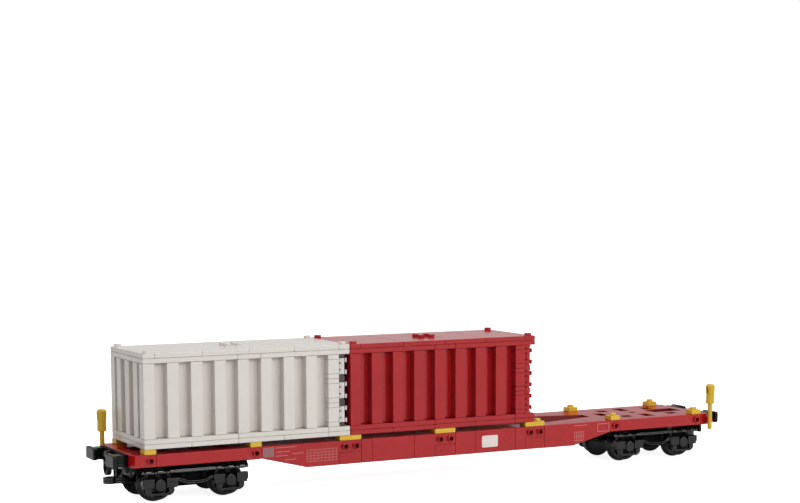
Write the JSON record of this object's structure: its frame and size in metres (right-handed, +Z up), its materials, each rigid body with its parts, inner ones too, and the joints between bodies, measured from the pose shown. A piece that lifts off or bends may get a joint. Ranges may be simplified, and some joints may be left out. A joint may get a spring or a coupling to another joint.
{
  "type": "toy container flatcar",
  "caption": "Brick-built toy flatcar on two bogies with wedge-ended side sills, studded mounts, two ribbed containers and an empty bay.",
  "frame": {"origin": "under the middle of the wagon, at the bottom of the wheel flanges", "axes": "+X along the wagon towards the empty bay, +Y across it, +Z up"},
  "size_m": [0.4704, 0.0784, 0.0985],
  "materials": {
    "frame_red": "moulded plastic",
    "dark_grey": "moulded plastic",
    "yellow": "moulded plastic",
    "bogie_black": "moulded plastic",
    "wheel_black": "moulded plastic",
    "axle_steel": "bare",
    "container_grey": "moulded plastic",
    "container_red": "moulded plastic"
  },
  "bodies": {
    "frame": {"sill_near": "frame_red", "sill_far": "frame_red", "sill_ends_near": "frame_red", "sill_ends_far": "frame_red", "stud_blocks_near": "frame_red", "stud_blocks_far": "frame_red", "deck_left": "frame_red", "deck_right": "frame_red", "well_rails": "frame_red", "bolsters": "bogie_black", "end_beams": "frame_red", "pole_clips": "frame_red", "buffers": "dark_grey", "coupling_links": "dark_grey", "beam_guards": "dark_grey", "poles": "yellow", "mounts_single": "yellow", "mounts_double": "yellow"},
    "bogie_left": {"bogie_left_plate": "bogie_black", "bogie_left_drawbar": "bogie_black", "bogie_left_sides": "bogie_black", "bogie_left_axle_boxes": "bogie_black", "bogie_left_trusses": "bogie_black", "bogie_left_rods": "bogie_black"},
    "bogie_right": {"bogie_right_plate": "bogie_black", "bogie_right_drawbar": "bogie_black", "bogie_right_sides": "bogie_black", "bogie_right_axle_boxes": "bogie_black", "bogie_right_trusses": "bogie_black", "bogie_right_rods": "bogie_black"},
    "wheelset_left_outer": {"axle_left_outer": "axle_steel", "wheels_left_outer": "wheel_black"},
    "wheelset_left_inner": {"axle_left_inner": "axle_steel", "wheels_left_inner": "wheel_black"},
    "wheelset_right_inner": {"axle_right_inner": "axle_steel", "wheels_right_inner": "wheel_black"},
    "wheelset_right_outer": {"axle_right_outer": "axle_steel", "wheels_right_outer": "wheel_black"},
    "container_grey": {"container_grey_base": "container_grey", "container_grey_roof": "container_grey", "container_grey_wall_near": "container_grey", "container_grey_wall_far": "container_grey", "container_grey_end_wall": "container_grey", "container_grey_hinge_bars": "dark_grey"},
    "container_red": {"container_red_base": "container_red", "container_red_roof": "container_red", "container_red_wall_near": "container_red", "container_red_wall_far": "container_red", "container_red_end_wall": "container_red", "container_red_hinge_bars": "container_red"},
    "door_grey_near": {"container_grey_door_near": "container_grey"},
    "door_red_near": {"container_red_door_near": "container_red"},
    "door_grey_far": {"container_grey_door_far": "container_grey"},
    "door_red_far": {"container_red_door_far": "container_red"}
  },
  "joints": [
    {"name": "bogie_left_turn", "type": "hinge", "parent": "frame", "child": "bogie_left", "pos_m": [-0.18, 0, 0.0214], "axis": [0, 0, 1], "range_deg": [-7, 7]},
    {"name": "bogie_right_turn", "type": "hinge", "parent": "frame", "child": "bogie_right", "pos_m": [0.18, 0, 0.0214], "axis": [0, 0, 1], "range_deg": [-7, 7]},
    {"name": "wheelset_left_outer_spin", "type": "hinge", "parent": "bogie_left", "child": "wheelset_left_outer", "pos_m": [-0.204, 0, 0.012], "axis": [0, 1, 0], "continuous": true},
    {"name": "wheelset_left_inner_spin", "type": "hinge", "parent": "bogie_left", "child": "wheelset_left_inner", "pos_m": [-0.156, 0, 0.012], "axis": [0, 1, 0], "continuous": true},
    {"name": "wheelset_right_inner_spin", "type": "hinge", "parent": "bogie_right", "child": "wheelset_right_inner", "pos_m": [0.156, 0, 0.012], "axis": [0, 1, 0], "continuous": true},
    {"name": "wheelset_right_outer_spin", "type": "hinge", "parent": "bogie_right", "child": "wheelset_right_outer", "pos_m": [0.204, 0, 0.012], "axis": [0, 1, 0], "continuous": true},
    {"name": "container_grey_lift", "type": "slide", "parent": "frame", "child": "container_grey", "axis": [0, 0, 1], "range_m": [0, 0.05]},
    {"name": "container_red_lift", "type": "slide", "parent": "frame", "child": "container_red", "axis": [0, 0, 1], "range_m": [0, 0.05]},
    {"name": "door_grey_near_swing", "type": "hinge", "parent": "container_grey", "child": "door_grey_near", "pos_m": [-0.0771, -0.0291, 0.0664], "axis": [0, 0, -1], "range_deg": [0, 8]},
    {"name": "door_red_near_swing", "type": "hinge", "parent": "container_red", "child": "door_red_near", "pos_m": [0.0669, -0.0291, 0.0664], "axis": [0, 0, -1], "range_deg": [0, 115]},
    {"name": "door_grey_far_swing", "type": "hinge", "parent": "container_grey", "child": "door_grey_far", "pos_m": [-0.0771, 0.0291, 0.0664], "axis": [0, 0, 1], "range_deg": [0, 8]},
    {"name": "door_red_far_swing", "type": "hinge", "parent": "container_red", "child": "door_red_far", "pos_m": [0.0669, 0.0291, 0.0664], "axis": [0, 0, 1], "range_deg": [0, 115]}
  ]
}
